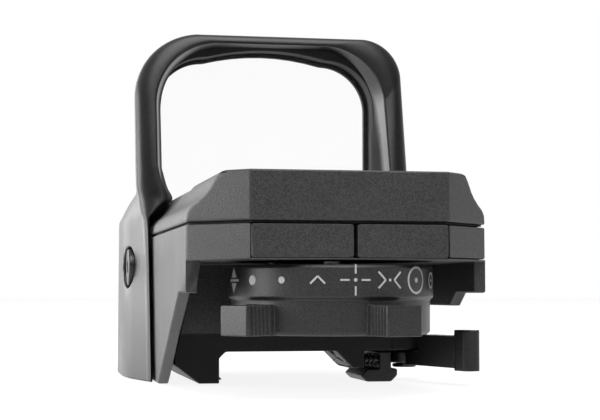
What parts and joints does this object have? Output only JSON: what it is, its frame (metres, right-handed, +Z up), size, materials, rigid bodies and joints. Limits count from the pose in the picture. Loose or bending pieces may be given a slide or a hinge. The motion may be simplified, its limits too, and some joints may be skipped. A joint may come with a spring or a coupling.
{
  "type": "red dot finder",
  "caption": "Open reflex sight with an arched lens hood, rotary reticle selector, push pads, sliding battery tray and a lever rail clamp.",
  "frame": {"origin": "centre of the flat rail seat under the clamp, on the middle plane of the sight", "axes": "+Y forward along the line of sight, +X to the viewer's right, +Z up; the rail seat faces -Z"},
  "size_m": [0.0517, 0.0834, 0.0581],
  "materials": {
    "housing": "matt black coating with a fine grain",
    "cover": "matt black coating with a fine grain",
    "hood": "matt black coating",
    "base": "matt black coating",
    "drum": "satin black coating with pale reticle symbols",
    "pads": "matt black",
    "tray": "matt black",
    "black_screw": "blackened steel",
    "steel": "plain steel",
    "brass": "plain brass",
    "rubber": "matt black rubber",
    "board": "green solder mask",
    "carriage": "dark grey plastic",
    "led": "red moulded emitter",
    "lens": "clear coated glass",
    "window": "clear flat glass"
  },
  "bodies": {
    "housing": {"main_housing": "housing", "top_cover": "cover", "cover_gasket": "rubber", "cover_screw_1": "black_screw", "cover_screw_2": "black_screw", "cover_screw_3": "black_screw", "cover_screw_4": "black_screw", "button_seal": "rubber", "button_board": "board", "button_switch_left": "steel", "button_switch_right": "steel", "battery_contact_top": "brass", "battery_contact_side": "brass", "spindle_bush": "brass", "spindle_seal": "rubber", "wave_washer": "steel", "detent_ball": "steel", "detent_spring": "steel", "main_board": "board", "board_screw_left": "steel", "board_screw_right": "steel", "carriage_guide_pin": "steel", "windage_spring": "steel", "emitter_window": "window", "lens_hood": "hood", "hood_screw_left": "black_screw", "hood_screw_right": "black_screw", "lens_frame": "hood", "objective_lens": "lens", "lens_retainer": "hood", "base_plate": "base", "base_screw_1": "black_screw", "base_screw_2": "black_screw", "base_screw_3": "black_screw", "base_screw_4": "black_screw", "jaw_guide_pin_1": "steel", "jaw_guide_pin_2": "steel", "jaw_spring_1": "steel", "jaw_spring_2": "steel", "lever_pivot_pin": "black_screw"},
    "left_button": {"button_left": "pads"},
    "right_button": {"button_right": "pads"},
    "tray": {"battery_tray": "tray", "coin_cell": "steel"},
    "drum": {"selector_drum": "drum", "drum_spindle": "steel", "drum_screw": "black_screw", "switch_rotor": "carriage"},
    "lever": {"clamp_lever": "base"},
    "jaw": {"clamp_jaw": "base"},
    "windage_adjuster": {"windage_screw": "black_screw"},
    "windage_stage": {"windage_carriage": "carriage"},
    "elevation_adjuster": {"elevation_screw": "black_screw"},
    "elevation_stage": {"elevation_carriage": "carriage", "led_emitter": "led"}
  },
  "joints": [
    {"name": "left_button_press", "type": "slide", "parent": "housing", "child": "left_button", "axis": [0, 1, 0], "range_m": [0, 0.0005], "stiffness_N_per_m": 900},
    {"name": "right_button_press", "type": "slide", "parent": "housing", "child": "right_button", "axis": [0, 1, 0], "range_m": [0, 0.0005], "stiffness_N_per_m": 900},
    {"name": "tray_slide", "type": "slide", "parent": "housing", "child": "tray", "axis": [1, 0, 0], "range_m": [0, 0.023]},
    {"name": "drum_turn", "type": "hinge", "parent": "housing", "child": "drum", "pos_m": [0, -0.0459, 0.0126], "axis": [0, 0, 1], "range_deg": [-61.75, 78.25]},
    {"name": "lever_swing", "type": "hinge", "parent": "housing", "child": "lever", "pos_m": [0.01985, -0.0115, 0], "axis": [0, 0, 1], "range_deg": [0, 150]},
    {"name": "jaw_slide", "type": "slide", "parent": "housing", "child": "jaw", "axis": [-1, 0, 0], "range_m": [0, 0.0024], "deforming": ["jaw_spring_1", "jaw_spring_2"]},
    {"name": "windage_turn", "type": "hinge", "parent": "housing", "child": "windage_adjuster", "pos_m": [0, -0.0364, 0.0211], "axis": [1, 0, 0], "range_deg": [-270, 270]},
    {"name": "windage_slide", "type": "slide", "parent": "housing", "child": "windage_stage", "axis": [1, 0, 0], "range_m": [-0.000375, 0.000375], "deforming": ["windage_spring"]},
    {"name": "elevation_turn", "type": "hinge", "parent": "windage_stage", "child": "elevation_adjuster", "pos_m": [0, -0.0329, 0.0211], "axis": [0, 0, 1], "range_deg": [-210, 210]},
    {"name": "elevation_slide", "type": "slide", "parent": "windage_stage", "child": "elevation_stage", "axis": [0, 0, 1], "range_m": [-0.00029, 0.00029]}
  ],
  "couplings": [
    {"joint": "lever_swing", "follows": "jaw_slide", "rad_per_m": 1090.7},
    {"joint": "windage_turn", "follows": "windage_slide", "rad_per_m": 12565},
    {"joint": "elevation_turn", "follows": "elevation_slide", "rad_per_m": 12565}
  ]
}
